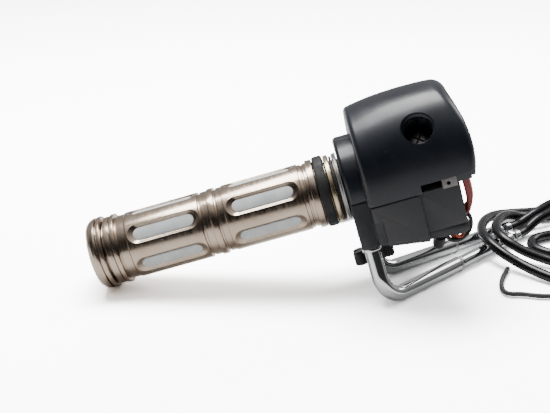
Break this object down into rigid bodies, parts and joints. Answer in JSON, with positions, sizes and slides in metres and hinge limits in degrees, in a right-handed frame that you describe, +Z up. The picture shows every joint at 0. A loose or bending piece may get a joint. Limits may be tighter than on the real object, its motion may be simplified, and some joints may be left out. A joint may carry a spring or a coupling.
{
  "type": "throttle grip assembly",
  "caption": "Twist throttle for a handlebar: turned metal grip with window inlays, split switch housing, two elbowed push-pull cables with adjusters, and a switch harness",
  "frame": {"origin": "centre of the resting footprint of the assembly without its free cords, on the surface it lies on", "axes": "+X runs along the grip from the end cap towards the switch housing, level with the surface; +Y points away from the side with the two elbows; +Z is up"},
  "size_m": [0.4065, 0.1401, 0.1074],
  "materials": {
    "satin_nickel": "turned and satin plated, warm nickel tint",
    "frosted_inlay": "frosted translucent polymer",
    "black_tube": "moulded nylon",
    "black_rubber": "matte",
    "bronze_ring": "satin bronze-tinted plating",
    "steel_fittings": "zinc plated",
    "brass_nipples": "bare brass, slightly dulled",
    "gloss_black_shell": "semi-gloss black paint",
    "satin_black_shell": "satin black, slightly grey",
    "red_wire": "wire insulation",
    "orange_wire": "wire insulation",
    "maroon_wire": "wire insulation",
    "tan_wire": "wire insulation",
    "chrome_tube": "bright chrome plating",
    "black_jacket": "extruded cable jacket, semi-gloss",
    "harness_sheath": "soft PVC sleeve"
  },
  "bodies": {
    "housing": {"upper_shell": "gloss_black_shell", "lower_shell": "satin_black_shell", "housing_screw_front": "steel_fittings", "housing_screw_rear": "steel_fittings", "recessed_screw": "steel_fittings", "contact_plate": "steel_fittings", "stop_switch": "satin_black_shell", "start_switch": "satin_black_shell", "friction_pad": "brass_nipples", "friction_spring": "steel_fittings", "lead_wire_red": "red_wire", "lead_wire_orange": "orange_wire", "lead_wire_maroon": "maroon_wire", "lead_wire_tan": "tan_wire", "elbow_front": "chrome_tube", "elbow_rear": "chrome_tube", "lock_ring_front": "steel_fittings", "lock_ring_rear": "steel_fittings", "adjuster_front": "chrome_tube", "adjuster_rear": "chrome_tube", "jacket_ferrule_front": "chrome_tube", "jacket_ferrule_rear": "chrome_tube", "front_jacket_lead": "black_jacket", "rear_jacket_lead": "black_jacket", "jacket_coil": "black_jacket", "front_jacket_loop": "black_jacket", "rear_jacket_loop": "black_jacket", "front_end_sleeve": "steel_fittings", "rear_end_sleeve": "steel_fittings", "harness": "harness_sheath", "harness_connector": "satin_black_shell", "loose_wire": "harness_sheath"},
    "throttle": {"end_cap": "satin_nickel", "grip_sleeve": "satin_nickel", "inlay_sleeve": "frosted_inlay", "throttle_tube": "black_tube", "o_ring": "black_rubber", "clamp_ring": "bronze_ring", "thrust_washer": "black_rubber", "flange_nut": "steel_fittings", "pull_drum_nipple": "brass_nipples", "return_drum_nipple": "brass_nipples"},
    "friction_screw": {"friction_knob": "black_rubber"},
    "start_key": {"start_button": "gloss_black_shell"},
    "stop_key": {"stop_rocker": "gloss_black_shell"},
    "pull_wire": {"front_wire_end": "brass_nipples"},
    "return_wire": {"rear_wire_end": "brass_nipples"}
  },
  "joints": [
    {"name": "throttle_twist", "type": "hinge", "parent": "housing", "child": "throttle", "pos_m": [-0.05601, -0.0133, 0.03394], "axis": [-0.9613, 0, -0.2756], "range_deg": [0, 75]},
    {"name": "friction_turn", "type": "hinge", "parent": "housing", "child": "friction_screw", "pos_m": [0.02682, -0.02377, 0.0197], "axis": [0.265, -0.2756, -0.924], "range_deg": [-180, 180]},
    {"name": "start_press", "type": "slide", "parent": "housing", "child": "start_key", "axis": [0.0144, -0.9986, -0.0503], "range_m": [0, 0.002], "stiffness_N_per_m": 900, "springref_m": -0.0005},
    {"name": "stop_rock", "type": "hinge", "parent": "housing", "child": "stop_key", "pos_m": [0.04357, 0.00744, 0.09118], "axis": [0.1657, 0.7992, -0.5778], "range_deg": [-7, 7]},
    {"name": "pull_wire_slide", "type": "slide", "parent": "housing", "child": "pull_wire", "axis": [-0.9923, 0.124, 0], "range_m": [0, 0.0204]},
    {"name": "return_wire_slide", "type": "slide", "parent": "housing", "child": "return_wire", "axis": [0.9864, -0.1644, 0], "range_m": [0, 0.0204]}
  ],
  "couplings": [
    {"joint": "pull_wire_slide", "follows": "throttle_twist", "m_per_rad": 0.0155},
    {"joint": "return_wire_slide", "follows": "throttle_twist", "m_per_rad": 0.0155}
  ]
}
